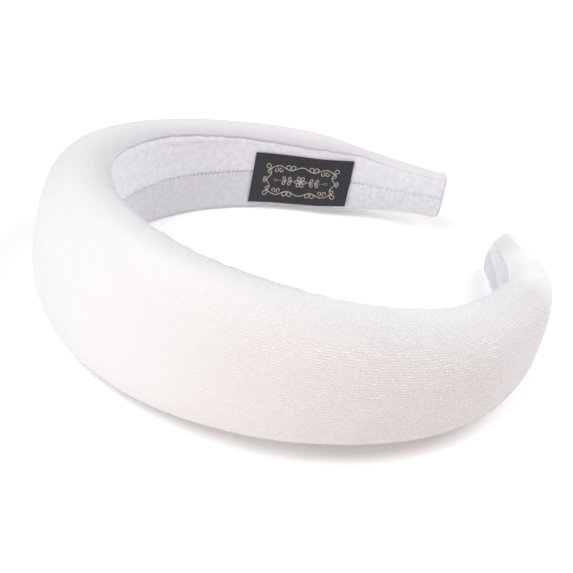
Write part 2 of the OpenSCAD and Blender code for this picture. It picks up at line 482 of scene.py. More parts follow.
def hexColour(text):  # an sRGB hex value as linear red, green, blue and alpha
    values = [int(text[i : i + 2], 16) / 255 for i in (1, 3, 5)]
    return (*[v / 12.92 if v <= 0.04045 else ((v + 0.055) / 1.055) ** 2.4 for v in values], 1)


# A node with its settings, and links into its sockets, which are given by name or as i0, i1
def addNode(tree, kind, settings=None, **links):
    node = tree.nodes.new("ShaderNode" + kind)
    for name, value in (settings or {}).items():
        if hasattr(node, name):
            setattr(node, name, value)
        else:
            node.inputs[int(name) if name.isdigit() else name].default_value = value
    for name, socket in links.items():
        key = int(name[1:]) if name[1:].isdigit() else name.replace("_", " ")
        tree.links.new(socket, node.inputs[key])
    return node


waveStep = math.pi / 10  # a wave texture of scale 1 repeats at this distance


def newMaterial(name):
    material = bpy.data.materials.new(name)
    material.use_nodes = True
    tree = material.node_tree
    tree.nodes.clear()
    shader = addNode(tree, "BsdfPrincipled")
    output = addNode(tree, "OutputMaterial")
    tree.links.new(shader.outputs["BSDF"], output.inputs["Surface"])
    return material, tree, shader


# White polyester stretch velvet, knitted with fine rows along the band and cut to a short pile:
# matt, with a pale sheen at grazing angles and rows of tiny slanting loops that show as thin
# pale lines. Pitches, sizes and reaches are in millimetres of the cloth laid flat
knitVelvet = {
    "name": "knitted stretch velvet",
    "pile": "#FFFEFF",
    "hollow": "#DAD8DA",
    "shadedCrease": "#CECCD5",  # painted shade, darkest beside the upper crease, where the pile is also pressed hardest
    "roughness": 0.92,
    "specular": 0.15,  # a cut pile scatters light and hardly shines
    "sheen": 0.3,
    "sheenRoughness": 0.4,
    "rowPitch": 0.7,
    "rowShow": 1.0,
    "rowCrest": 1.1,
    "loopPitch": 0.36,
    "loopSlant": 38,
    "loopStretch": 0.75,
    "loopRange": (0.42, 0.6),
    "loopShow": 0.8,
    "meanKnit": 0.42,  # stands for the rows where the pile hides them
    # along the band from the middle of the crown: where the rows begin to show, and show most
    "ruffled": (20, 85),
    # round the section from the middle of the outer face: the same over the upper roll
    "ruffledRoll": (20, 32),
    # near the tips the cloth is smooth again
    "smoothTip": (150, 168),
    # along the band under the label, where the painted shade changes, partly with the lie of the
    # pile, and how light it is before and after
    "turn": (-145, -115),
    "turnShades": (1.0, 1.0),
    # size and reach of the slow bends in the rows, and of the unevenness of the loops
    "wanders": ((7, 0.5), (1.2, 0.32)),
    "mottleSize": 11,
    "mottleRange": (0.35, 0.65),
    "mottle": 0.08,
    # single tufts are about 0.2 mm and are drawn twice as coarse, so that they show
    "tuftSize": 0.4,
    "tuftRange": (0.3, 0.7),
    "tuftShow": 0.12,
    # how much darker the painted shade makes the cloth, and how much the painted light closes over
    # the hollows; partly the pressed and raised pile
    "napAndShadeShow": 0.8,
    "paintedLightRange": (0.4, 1.6),
    "paintedLightShow": 0.6,
    "shadedCreaseRange": (-2, -1),
    "relief": 0.36,
    "reliefStrength": 0.8,
    "tuftRelief": 0.35,  # the share of it that is tufts, and not rows
}
# The same velvet pressed flat on the head side: crushed pile, with small cloudy marks
pressedVelvet = {
    **knitVelvet,
    "name": "pressed stretch velvet",
    "pile": "#FAF9FE",
    "hollow": "#C5C4CA",
    # painted shade, darkest on the upper strip beyond the label
    "turnShades": (0.74, 0.9),
    "mottleSize": 1.9,
    "mottle": 0.38,
    "napAndShadeShow": 0.9,
    "rowShow": 0.4,
    "relief": 0.12,
}
# Below the seam the cloth is darker as far as the label: painted shade where the strip turns down,
# away from the light, partly the pile lying the other way
shadedLowerVelvet = {
    **pressedVelvet,
    "name": "pressed stretch velvet, pile turned down",
    "hollow": "#BBB9BE",
    "turnShades": (0.8, 0.6),
}


def scaled(tree, value, fromRange, low, high=1.0):  # a value's range, turned to low and high
    settings = {"From Min": fromRange[0], "From Max": fromRange[1], "To Min": low, "To Max": high}
    return addNode(tree, "MapRange", settings, Value=value).outputs["Result"]


def velvetMaterial(look):
    material, tree, shader = newMaterial(look["name"])
    shader.inputs["Roughness"].default_value = look["roughness"]
    shader.inputs["Specular IOR Level"].default_value = look["specular"]
    shader.inputs["Sheen Weight"].default_value = look["sheen"]
    shader.inputs["Sheen Roughness"].default_value = look["sheenRoughness"]
    multiply = {"operation": "MULTIPLY"}
    cloth = addNode(tree, "UVMap", {"uv_map": "clothMap"}).outputs["UV"]
    # the rows aren't quite straight, and their loops aren't quite even
    mapping = cloth
    for size, reach in look["wanders"]:
        noise = addNode(tree, "TexNoise", {"Scale": 1 / size, "Detail": 1.0}, Vector=cloth)
        centring = {"operation": "SUBTRACT", "1": (0.5, 0.5, 0.5)}
        centred = addNode(tree, "VectorMath", centring, i0=noise.outputs["Color"])
        reaching = {"operation": "SCALE", "Scale": reach * 2}
        reached = addNode(tree, "VectorMath", reaching, i0=centred.outputs[0])
        moved = addNode(
            tree, "VectorMath", {"operation": "ADD"}, i0=mapping, i1=reached.outputs[0]
        )
        mapping = moved.outputs[0]
    across = {"bands_direction": "Y", "Scale": waveStep / look["rowPitch"]}
    rows = addNode(tree, "TexWave", across, Vector=mapping)
    sharpening = {"operation": "POWER", "1": look["rowCrest"]}
    crests = addNode(tree, "Math", sharpening, i0=rows.outputs["Fac"])
    slant = {
        "Rotation": (0, 0, math.radians(look["loopSlant"])),
        "Scale": (1, look["loopStretch"], 1),
    }
    slanted = addNode(tree, "Mapping", slant, Vector=mapping).outputs["Vector"]
    loopGrain = {"Scale": 1 / look["loopPitch"], "Detail": 1.0}
    loops = addNode(tree, "TexNoise", loopGrain, Vector=slanted)
    loopShade = scaled(tree, loops.outputs["Fac"], look["loopRange"], 1 - look["loopShow"])
    allRows = addNode(tree, "Math", multiply, i0=crests.outputs[0], i1=loopShade)
    # the pile lies smooth at the left of the crown, and is ruffled over the upper roll and
    # along the arm without the label
    drifted = addNode(tree, "SeparateXYZ", Vector=mapping)
    ruffles = [
        scaled(tree, drifted.outputs[axis], look[key], 0.0)
        for axis, key in (("X", "ruffled"), ("Y", "ruffledRoll"))
    ]
    either = addNode(tree, "Math", {"operation": "MAXIMUM"}, i0=ruffles[0], i1=ruffles[1])
    inside = scaled(tree, drifted.outputs["X"], look["smoothTip"][::-1], 0.0)
    ruffled = addNode(tree, "Math", multiply, i0=either.outputs[0], i1=inside)
    smoothKnit = {"data_type": "FLOAT", "A": look["meanKnit"]}
    knit = addNode(
        tree, "Mix", smoothKnit, Factor=ruffled.outputs[0], B=allRows.outputs[0]
    ).outputs[0]
    cloudGrain = {"Scale": 1 / look["mottleSize"], "Detail": 4.0, "Roughness": 0.6}
    clouds = addNode(tree, "TexNoise", cloudGrain, Vector=cloth)
    tuftGrain = {"Scale": 1 / look["tuftSize"], "Detail": 2.0}
    tufts = addNode(tree, "TexNoise", tuftGrain, Vector=cloth)
    # painted shade and painted light read from the mesh, partly the lie of the pile
    napAndShade = addNode(tree, "Attribute", {"attribute_name": "napAndShade"}).outputs["Fac"]
    lit = scaled(tree, knit, (0, 1), 1 - look["rowShow"])
    for factor in (
        scaled(tree, clouds.outputs["Fac"], look["mottleRange"], 1 - look["mottle"]),
        scaled(tree, tufts.outputs["Fac"], look["tuftRange"], 1 - look["tuftShow"]),
        # painted shade that changes under the label
        scaled(tree, drifted.outputs["X"], look["turn"], *look["turnShades"]),
        scaled(tree, napAndShade, (-1, 1), 1 - look["napAndShadeShow"], 1 + look["napAndShadeShow"]),
    ):
        lit = addNode(tree, "Math", multiply, i0=lit, i1=factor).outputs[0]
    # painted light: the cloth turns to the pile's colour where the attribute is high
    paintedLight = scaled(tree, napAndShade, look["paintedLightRange"], 0.0, look["paintedLightShow"])
    lit = addNode(tree, "Mix", {"data_type": "FLOAT", "B": 1.0}, Factor=paintedLight, A=lit).outputs[0]
    shades = {"data_type": "RGBA", "6": hexColour(look["hollow"]), "7": hexColour(look["pile"])}
    colour = addNode(tree, "Mix", shades, i0=lit).outputs[2]
    # painted shade: the darkest colour, beside the upper crease
    shadedCrease = scaled(tree, napAndShade, look["shadedCreaseRange"], 1.0, 0.0)
    darkest = {"data_type": "RGBA", "7": hexColour(look["shadedCrease"])}
    colour = addNode(tree, "Mix", darkest, i0=shadedCrease, i6=colour).outputs[2]
    tree.links.new(colour, shader.inputs["Base Color"])
    both = {"data_type": "FLOAT", "Factor": look["tuftRelief"]}
    relief = addNode(tree, "Mix", both, A=knit, B=tufts.outputs["Fac"]).outputs[0]
    depth = {"Strength": look["reliefStrength"], "Distance": look["relief"] * mm}
    bump = addNode(tree, "Bump", depth, Height=relief)
    tree.links.new(bump.outputs["Normal"], shader.inputs["Normal"])
    return material


coverCloth = velvetMaterial(knitVelvet)
facingCloth = velvetMaterial(pressedVelvet)
shadedLowerCloth = velvetMaterial(shadedLowerVelvet)
print("materials made")


# Air pressure under the cloth, held at the creases and the tips, rounds the cover as the foam does
puffing = {
    "ringStride": 4,
    "pointStride": 3,
    "startInset": 0.2,
    "pressure": 6.0,
    "frames": 20,
    "quality": 6,
    "mass": 0.15,
    "tension": 12,
    "bending": 0.4,
    "cap": 0.8,  # the furthest that a point may move
    "evenPasses": 4,
}


def surfaceNormals(points):
    lengthwise = np.gradient(points, axis=0)
    around = np.gradient(points, axis=1)
    normals = np.cross(around, lengthwise)
    return normals / np.maximum(np.linalg.norm(normals, axis=-1, keepdims=True), 1e-9)


def everyFew(count, stride):  # every few rows of the fine mesh, and its last one
    return np.unique(np.append(np.arange(0, count, stride), count - 1))


def puffCover(rest):  # how far each point of the skin moves in the simulation, in metres
    fineRings, finePoints = np.arange(len(rest)), np.arange(rest.shape[1])
    ringIndex = everyFew(len(rest), puffing["ringStride"])
    pointIndex = everyFew(rest.shape[1], puffing["pointStride"])
    coarse = rest[np.ix_(ringIndex, pointIndex)]
    held = np.zeros(coarse.shape[:2], bool)
    held[:, [0, 1, -2, -1]] = True
    held[[0, 1, -2, -1]] = True
    start = coarse - surfaceNormals(coarse) * (~held[..., None]) * puffing["startInset"] * mm
    rings, count = coarse.shape[:2]
    mesh = bpy.data.meshes.new("puffing")
    mesh.from_pydata(start.reshape(-1, 3).tolist(), [], tubeFaces(rings, count))
    faceOutwards(mesh)
    cloth = bpy.data.objects.new("puffing", mesh)
    bpy.context.scene.collection.objects.link(cloth)
    group = cloth.vertex_groups.new(name="held")
    group.add(np.flatnonzero(held.ravel()).tolist(), 1.0, "REPLACE")
    modifier = cloth.modifiers.new("Cloth", "CLOTH")
    settings = modifier.settings
    settings.vertex_group_mass = "held"
    settings.quality = puffing["quality"]
    settings.mass = puffing["mass"]
    settings.tension_stiffness = puffing["tension"]
    settings.compression_stiffness = puffing["tension"]
    settings.bending_stiffness = puffing["bending"]
    settings.use_pressure = True
    settings.uniform_pressure_force = puffing["pressure"]
    settings.effector_weights.gravity = 0
    modifier.collision_settings.use_collision = False
    scene = bpy.context.scene
    modifier.point_cache.frame_start = 1
    modifier.point_cache.frame_end = puffing["frames"]
    for frameNumber in range(1, puffing["frames"] + 1):
        scene.frame_set(frameNumber)
    seen = cloth.evaluated_get(bpy.context.evaluated_depsgraph_get())
    settled = np.zeros(rings * count * 3)
    seen.data.vertices.foreach_get("co", settled)
    scene.frame_set(1)
    bpy.data.objects.remove(cloth)
    bpy.data.meshes.remove(mesh)
    move = settled.reshape(rings, count, 3) - coarse
    size = np.linalg.norm(move, axis=-1, keepdims=True)
    move *= np.minimum(1, puffing["cap"] * mm / np.maximum(size, 1e-9))
    # read back onto the fine mesh, first round each ring and then along the band
    across = np.stack(
        [[np.interp(finePoints, pointIndex, row[:, k]) for k in range(3)] for row in move]
    )
    full = np.stack(
        [[np.interp(fineRings, ringIndex, across[:, k, j]) for j in finePoints] for k in range(3)]
    )
    print("cover puffed: mean move %.2f mm, largest %.2f mm" % (size.mean() / mm, size.max() / mm))
    return full.transpose(2, 1, 0)


def evenOut(field, passes):  # takes the steps out of a field read from the coarser cloth
    for _ in range(passes):
        field[1:-1] = (field[:-2] + 2 * field[1:-1] + field[2:]) / 4
        field[:, 1:-1] = (field[:, :-2] + 2 * field[:, 1:-1] + field[:, 2:]) / 4
    return field


def coverBumps(fromUpper, fromLower, puffed):  # in millimetres along the normals
    along = skinPlaces[:, None] * halfLength
    # short puckers where the cloth is gathered into the creases
    spacing = cover["puckerSpacing"]
    bumps = 0
    for distance, seed, groupSeed in ((fromUpper, 21, 26), (fromLower, 22, 27)):
        groups = wander(along, spacing * cover["puckerGroup"], groupSeed)
        gathers = wander(along, spacing, seed) * groups
        fade = np.exp(-((distance / cover["puckerReach"]) ** 2))
        fade = fade * np.clip(distance / cover["puckerStart"], 0, 1)
        bumps = bumps + cover["puckerDepth"] * gathers * fade * puffed
    # the foam isn't quite even
    (long, wide), (shorter, narrower) = cover["unevenWaves"]
    waves = wander(along, long, 31) * np.cos(skinGirth / wide)
    waves = waves + wander(along, shorter, 32) * np.sin(skinGirth / narrower)
    inner = np.clip(np.minimum(fromUpper, fromLower) / cover["unevenFade"], 0, 1) * puffed
    fold = tipFold(skinPlaces)[:, None] * np.clip(1 - fromUpper / cover["foldFade"], 0, 1)
    return bumps + cover["unevenness"] * waves * inner - fold


def coverFloor(puffed):  # the groove's floor, which comes up to the surface past the strips
    share = np.linspace(0, 1, cover["floorPoints"])[None]
    up = skinUp[:, -1:] + (skinUp[:, :1] - skinUp[:, -1:]) * share
    oval = ovalOut(skinPlaces[:, None], up)
    most = padAt(skinPlaces)[:, None] / cover["floorParts"]
    deep = np.minimum(cover["grooveFloor"], most)
    out = np.where(pastStrips(skinPlaces), oval, oval * (1 - puffed) + deep)
    return lie(setOnBand(skinPlaces[:, None], out, up)), up


def tipDome(ring, inner):  # closes a flat tip with a rounded rim, from its last ring outwards
    direction = (ring - inner).mean(0)
    direction /= np.linalg.norm(direction)
    centre = (ring.max(0) + ring.min(0)) / 2
    narrows, rises = cover["domeShape"]
    dome = []
    for angle in np.radians(np.linspace(0, 90, cover["domeRings"] + 1)[1:]):
        size = max(math.cos(angle), cover["domeLeast"]) ** narrows
        beyond = direction * cover["tipDome"] * mm * math.sin(angle) ** rises
        dome.append(centre + (ring - centre) * size + beyond)
    return np.array(dome)


def coverNapAndShade(fromUpper, puffed):
    near, far = skinPlaces > 0, skinPlaces < 0
    # painted light on the near arm's upper roll and at its tip, partly the pile raised there
    tip = (1 - fadeOut(skinPlaces, *cover["nearTipRange"])) * cover["nearTipCoverLight"]
    atTip = cover["nearRollLightAtTip"]
    share = atTip + (1 - atTip) * fadeOut(skinPlaces, *cover["nearRollLightFades"])
    roll = (1 - fadeOut(skinPlaces, *cover["nearRollLightRange"])) * share
    paintedLight = (tip + roll * cover["nearRollLight"]) * near
    paintedLight = paintedLight[:, None] * np.clip(1 - fromUpper / cover["rollLightReach"], 0, 1)
    # painted shade beside the upper crease
    beside = np.exp(-((np.clip(fromUpper, 0, None) / cover["creaseShade"]) ** 2)) * puffed
    shadedCrease = smooth(cover["creaseShares"], 1, skinPlaces)[:, None] * beside
    # painted shade at the tip with the label
    farTip = ((1 - fadeOut(skinPlaces, *cover["farTipRange"])) * far)[:, None]
    return paintedLight - shadedCrease - cover["farTipShade"] * farTip


def makeCover():
    rest = lie(skinRest)
    normals = surfaceNormals(rest)
    move = np.zeros_like(rest)
    move = evenOut(puffCover(rest), puffing["evenPasses"])
    fromUpper = skinGirth[:, :1] - skinGirth - cover["grooveDepth"]
    fromLower = skinGirth - skinGirth[:, -1:] - cover["grooveDepth"]
    move *= np.clip(np.minimum(fromUpper, fromLower) / cover["puffFade"], 0, 1)[..., None]
    puffed = puffedAt(skinPlaces[:, None])
    bumps = coverBumps(fromUpper, fromLower, puffed)
    points = rest + move + normals * bumps[..., None] * mm
    floorRows, floorUp = coverFloor(puffed)
    rings = np.concatenate([points, floorRows], 1)
    girth = np.hstack([skinGirth, skinGirth[:, -1:] - (floorUp - floorUp[:, :1])])
    eased = (1 - fadeOut(skinPlaces, *cover["nearRowsRange"])) * (skinPlaces > 0)
    girth *= 1 + cover["nearRows"] * eased[:, None]
    outerLine = points[:, cover["skinPoints"] // 2]
    run = np.append(0, np.cumsum(np.linalg.norm(np.diff(outerLine, axis=0), axis=1))) / mm
    run -= run[-1] / 2
    farDome = tipDome(rings[0], rings[cover["domeInward"]])
    nearDome = tipDome(rings[-1], rings[-1 - cover["domeInward"]])
    rings = np.concatenate([farDome[::-1], rings, nearDome])
    extra = cover["domeRings"]
    beyond = np.arange(1, extra + 1) * cover["tipDome"] / extra
    girth = np.concatenate([np.repeat(girth[:1], extra, 0), girth, np.repeat(girth[-1:], extra, 0)])
    run = np.concatenate([run[0] - beyond[::-1], run, run[-1] + beyond])
    mapping = np.stack([np.broadcast_to(run[:, None], girth.shape), girth], -1)
    # painted shade and painted light on the cover, zero on the groove's floor and copied onto the
    # domes
    napAndShade = np.zeros(girth.shape)
    napAndShade[extra:-extra, : cover["skinPoints"]] = coverNapAndShade(fromUpper, puffed)
    napAndShade[:extra], napAndShade[-extra:] = napAndShade[extra], napAndShade[-extra - 1]
    piece = addMesh("velvet_cover", rings, tubeFaces(*rings.shape[:2]), coverCloth, mapping, napAndShade)
    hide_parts("padded_cover")


makeCover()
print("cover made")

# The two strips of the head side, gathered a little by the stitches that join them
facing = {
    "rings": 1400,
    "facePoints": 30,
    "backPoints": 6,
    "crowding": 0.12,  # the points lie closer near both edges
    "thickness": 1.2,
    "swell": 0.3,
    "seamDepth": 0.42,
    "seamWidth": 0.42,
    "farTipSeam": 0.6,  # the share of the seam's depth that shows at the label's tip
    "creaseRound": 0.1,
    # place, how far the seam lies below the middle
    "seamDrop": (
        (0.00, 1.5), (0.38, 2.1), (0.47, 1.4), (0.55, 1.3), (0.63, 1.0), (0.80, 0.9),
        (0.87, 1.1), (1.00, 1.4),
    ),
    "stitchSpacing": 1.6,
    "stitchDrift": 0.3,  # how far a stitch may be off its place, in stitches
    "driftSpacing": 3,
    "stitchSlant": 0.7,
    "stitchReturn": 0.22,
    "stitchPull": 0.34,
    "stitchReach": 1.5,
    "stitchLevel": 0.3,  # the cloth swells where its dip is less than this
    # painted shade in each stitch's dip and painted light on the swell between
    "stitchShade": 0.35,
    "uneven": 0.3,  # how much one stitch or gather differs from the next
    "unevenSpacing": 4,
    # painted light on the strips at the near tip
    "nearTipStripLight": 0.2,
    "nearTipRange": (0.75, 0.85),
    # the lower strip lighter towards the crown
    "lowerLighter": 0.35,
    "lowerLighterRange": (0.2, 0.45),
    "ribSpacing": 1.1,
    "ribReach": 4,
    "upperRib": 0.04,
    "lowerRib": 0.09,
    # the frill under the upper crease, widest between the crown and the label
    "frillMiddle": 0.38,
    "frillSpread": 0.22,
    "frillHeight": 0.5,
    "frillLow": 0.25,  # the share of its height that is left far from its middle
    "frillWidth": 2.8,
    "frillNarrow": 0.3,  # the same of its width
    "frillWander": 0.3,
    "wanderSpacing": 3,
    "frillStep": 0.8,
    "frillStart": 0.9,
    "frillSpacing": 1.7,
    # painted light on the raised frill
    "frillLight": 0.15,
    # how far past the label the cloth is kept flat, in places, and how steeply that ends
    "labelRoom": 0.01,
    "labelFade": 60,
}
# The woven label, across one arm not far from its tip and down to the lower crease, matched to the
# photo more closely than its solid, which is 32.5 long and 31 from the tip
label = {
    "length": 33.3,
    "toTip": 31.5,
    "thickness": 0.42,
    "gap": 0.2,  # from the swelling of the strips to its back
    # how much less its height is than the room between the creases, and how it is cut: the crown's
    # end is higher by this drop, and each corner is a little off the crease or off the straight
    "margin": 1.3,
    "drop": 1.3,
    "liftCrown": 1.1,
    "liftTip": 0.35,
    "topCrown": 0.45,
    "topTip": -0.6,
    "columns": 150,
    "rows": 80,
    "edgeRound": 0.16,
}
labelEnd = 1 - label["toTip"] / halfLength
labelShare = label["length"] / halfLength


def stitchPhase(along):  # counts the stitches, which aren't quite evenly spaced
    spacing = facing["stitchSpacing"]
    drift = wander(along, spacing * facing["driftSpacing"], 41)
    return along / spacing + facing["stitchDrift"] * drift


def unevenly(along, spacing, seed):  # a share that differs a little from one place to the next
    return 1 - facing["uneven"] + facing["uneven"] * wander(along, spacing, seed)


def between(low, share):  # low where the share is 0, and 1 where it is 1
    return low + (1 - low) * share


def seamLine(places):  # each stitch slants, and the seam runs a little below the middle
    share = stitchPhase(places * halfLength) % 1
    back = facing["stitchReturn"]
    slant = np.where(share < 1 - back, share / (1 - back), (1 - share) / back) - 0.5
    slant = facing["stitchSlant"] * slant
    slant = slant * unevenly(places * halfLength, facing["unevenSpacing"], 42)
    return slant - onArms(facing["seamDrop"], places)


def frillAt(places, fromCrease):  # the frill's height, as a share
    along = places * halfLength
    toMiddle = (np.abs(places) - facing["frillMiddle"]) / facing["frillSpread"]
    middle = np.exp(-(toMiddle**2))[:, None]
    edge = facing["frillWander"] * wander(along, facing["wanderSpacing"], 63)[:, None]
    width = facing["frillWidth"] * between(facing["frillNarrow"], middle) + edge
    step = np.clip((width - fromCrease) / facing["frillStep"], 0, 1)
    gathers = unevenly(along, facing["frillSpacing"], 64)[:, None]
    return step**2 * (3 - 2 * step) * between(facing["frillLow"], middle) * gathers


def facingStrip(name, node, side):
    places = np.linspace(-facingReach, facingReach, facing["rings"])
    along = places * halfLength
    puffed = puffedAt(places)[:, None]
    start = seamLine(places) + side * facingFit / 2
    end = side * (creaseLine(places, side) - facingFit)
    share = np.linspace(0, 1, facing["facePoints"])
    share = (share - facing["crowding"] * np.sin(2 * math.pi * share))[None]
    up = start[:, None] + (end - start)[:, None] * share
    fromSeam, fromCrease = np.abs(up - start[:, None]), np.abs(end[:, None] - up)
    core = ovalOut(places[:, None], up) * (1 - puffed)
    out = core - facing["swell"] / 2 * np.sin(math.pi * share) * puffed
    r = facing["creaseRound"]
    out = out + (r - np.sqrt(r**2 - np.clip(r - fromCrease, 0, r) ** 2)) * puffed
    # the seam fades at the near tip, and partly at the other one
    sewn = np.where(places[:, None] > 0, puffed, between(facing["farTipSeam"], puffed))
    seam = np.exp(-((fromSeam / facing["seamWidth"]) ** 2))
    out = out + facing["seamDepth"] * seam * sewn
    # the cloth dips at each stitch and swells between them
    dip = 0.5 + 0.5 * np.cos(2 * math.pi * (stitchPhase(along) + facing["stitchReturn"] / 2))
    dip = dip * unevenly(along, facing["unevenSpacing"], 43)
    besideSeam = np.exp(-((fromSeam / facing["stitchReach"]) ** 2))
    pull = (dip[:, None] - facing["stitchLevel"]) * besideSeam * sewn
    out = out + facing["stitchPull"] * pull
    out = out + tipFold(places)[:, None]
    # painted shade where the stitches dip, and painted light where the cloth swells between them
    napAndShade = -facing["stitchShade"] * pull
    # painted light at the near tip
    nearTip = (1 - fadeOut(places, *facing["nearTipRange"])) * (places > 0)
    napAndShade = napAndShade + facing["nearTipStripLight"] * nearTip[:, None]
    # upright ribs in the pile, deeper away from the seam
    ribs = wander(along, facing["ribSpacing"], 61 if side > 0 else 62)[:, None]
    ribs = facing["upperRib" if side > 0 else "lowerRib"] * ribs
    out = out + ribs * np.clip(fromSeam / facing["ribReach"], 0, 1)
    fromLabel = np.abs(places + labelEnd - labelShare / 2) - labelShare / 2
    underLabel = (facing["labelRoom"] - fromLabel) * facing["labelFade"]
    underLabel = np.clip(underLabel, 0, 1)[:, None]
    if side < 0:
        # the lower strip lighter towards the crown
        napAndShade = napAndShade + facing["lowerLighter"] * fadeOut(places, *facing["lowerLighterRange"])[:, None]
    else:
        frill = frillAt(places, fromCrease) * puffed
        # painted light on the frill
        napAndShade = napAndShade + facing["frillLight"] * frill
        frill = frill * (1 - underLabel) * np.clip(fromCrease / facing["frillStart"], 0, 1)
        out = out - facing["frillHeight"] * frill
    out = np.maximum(out, -facing["swell"] / 2 * underLabel - (1 - underLabel))
    backColumns = np.linspace(facing["facePoints"] - 1, 0, facing["backPoints"]).astype(int)
    outLine = np.hstack([out, core[:, backColumns] + facing["thickness"]])
    upLine = np.hstack([up, up[:, backColumns]])
    points = lie(setOnBand(places[:, None], outLine, upLine))
    mapping = np.stack([np.broadcast_to(along[:, None], upLine.shape), upLine], -1)
    napAndShade = np.hstack([napAndShade + 0 * up, np.zeros((len(up), len(backColumns)))])
    cloth = facingCloth if side > 0 else shadedLowerCloth
    piece = addMesh(name, points, tubeFaces(*points.shape[:2]), cloth, mapping, napAndShade)
    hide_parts(node)


facingStrip("upper_strip", "upper_facing", 1)
facingStrip("lower_strip", "lower_facing", -1)
print("facings made")


# x runs from the crown's end and y from the lower edge, in shares of the label
def onLabel(x, y, lift):
    places = -(labelEnd - labelShare * (1 - x))
    crease = lowerInset(places) - widthAt(places) / 2
    ends = np.array([labelEnd])
    tipHeight = (widthAt(ends) - upperInset(ends) - lowerInset(ends))[0] - label["margin"]
    high = crease + tipHeight + label["drop"] * (1 - x)
    high = high + label["topCrown"] * (1 - x) + label["topTip"] * x
    low = crease + label["liftCrown"] * (1 - x) + label["liftTip"] * x
    out = -facing["swell"] / 2 - label["gap"] - lift
    return lie(setOnBand(places, out, low + (high - low) * y))


# Polyester damask label: a dark satin ground of very fine thread, with a faint silky gloss
damaskLabel = {
    "name": "damask woven label",
    "dark": "#1C1C24",
    "light": "#292932",
    "roughness": 0.6,
    "sheen": 0.1,
    "pitch": 0.3,  # satin threads are about 0.1 mm apart and are drawn coarser, so that they show
    "waver": 0.6,
    "speckShare": 0.5,
    "relief": 0.03,
    "reliefStrength": 0.5,
}
# Pale rayon weft that floats over the ground as an ornament, in short silky strands
labelWeft = {
    **damaskLabel,
    "name": "rayon weft",
    "dark": "#8A7F77",
    "light": "#C2B6AC",
    "roughness": 0.5,
    "pitch": 0.35,
    "relief": 0.05,
}


def wovenMaterial(look):
    material, tree, shader = newMaterial(look["name"])
    shader.inputs["Roughness"].default_value = look["roughness"]
    shader.inputs["Sheen Weight"].default_value = look["sheen"]
    place = addNode(tree, "UVMap", {"uv_map": "clothMap"}).outputs["UV"]
    twill = {
        "bands_direction": "DIAGONAL",
        "Scale": waveStep / look["pitch"],
        "Distortion": look["waver"],
        "Detail": 1.0,
    }
    threads = addNode(tree, "TexWave", twill, Vector=place).outputs["Fac"]
    grain = {"Scale": 1 / look["pitch"], "Detail": 2.0}
    specks = addNode(tree, "TexNoise", grain, Vector=place).outputs["Fac"]
    both = {"data_type": "FLOAT", "Factor": look["speckShare"]}
    weave = addNode(tree, "Mix", both, A=threads, B=specks).outputs[0]
    shades = {"data_type": "RGBA", "6": hexColour(look["dark"]), "7": hexColour(look["light"])}
    colour = addNode(tree, "Mix", shades, i0=weave).outputs[2]
    tree.links.new(colour, shader.inputs["Base Color"])
    depth = {"Strength": look["reliefStrength"], "Distance": look["relief"] * mm}
    bump = addNode(tree, "Bump", depth, Height=weave)
    tree.links.new(bump.outputs["Normal"], shader.inputs["Normal"])
    return material


# The label's woven ornament: a wavy vine with curls round a small flower between two leafy
# sprigs. One quarter of it is drawn, from the flower's middle up and out, and is mirrored
ornament = {
    "sheet": (33.3, 16.5),
    "centre": (16.7, 7.9),
    "threadWidth": 0.3,
    "threadHeight": 0.12,
    "threadRoot": 0.04,
    "frame": (11.9, 4.3),
    "vineEnd": 1.4,  # how far the vine stops short of the frame's side
    "waveHeight": 0.65,
    "wavesAlong": 3,
    "curlRadius": 1.0,
    "curlSet": 0.9,  # from the wave to the middle of its curls, in radii
    "curlWind": 0.6,  # the share of the radius that a curl winds in
    "smallCurl": 0.8,
    "smallCurlDrop": 1.5,
    # in from the frame's side, down from its top, then the leaf's length, width and angle
    "cornerLeaf": (1.5, 0.7, 2.3, 1.3, 38),
    "cornerCurl": (0.9, 1.5),
    "sideVine": 0.9,
    "sideVineDrop": 1.0,
    "sideWaves": 1.5,
    "sideBud": (0.2, 1.2, 0.9, 30),
    "petals": 6,
    "petalLength": 1.9,
    "petalWidth": 0.95,
    "petalBlunt": 0.8,  # below 1 its outer end is rounder
    "sprigStart": 2.1,
    "sprigLength": 5.4,
    "leafLength": 1.6,
    # quarters of the sprig to a pair of leaves
    "leafPlaces": (0.5, 1.9),
    "leafShape": (0.3, 0.85, 50),
    "endLeafWidth": 0.7,
}


def curl(x, y, radius, start, turns):  # a spiral that winds in to a centre
    t = np.linspace(0, 1, 26)
    angle = math.radians(start) + 2 * math.pi * turns * t
    r = radius * (1 - ornament["curlWind"] * t)
    return np.stack([x + r * np.cos(angle), y + r * np.sin(angle)], -1)


def leaf(x, y, length, width, angle):  # or a petal, pointed where it is joined
    t = np.linspace(0, 1, 21)
    along = length * np.sin(math.pi * t) ** ornament["petalBlunt"]
    across = width / 2 * np.sin(2 * math.pi * t)
    c, s = math.cos(math.radians(angle)), math.sin(math.radians(angle))
    return np.stack([x + along * c - across * s, y + along * s + across * c], -1)


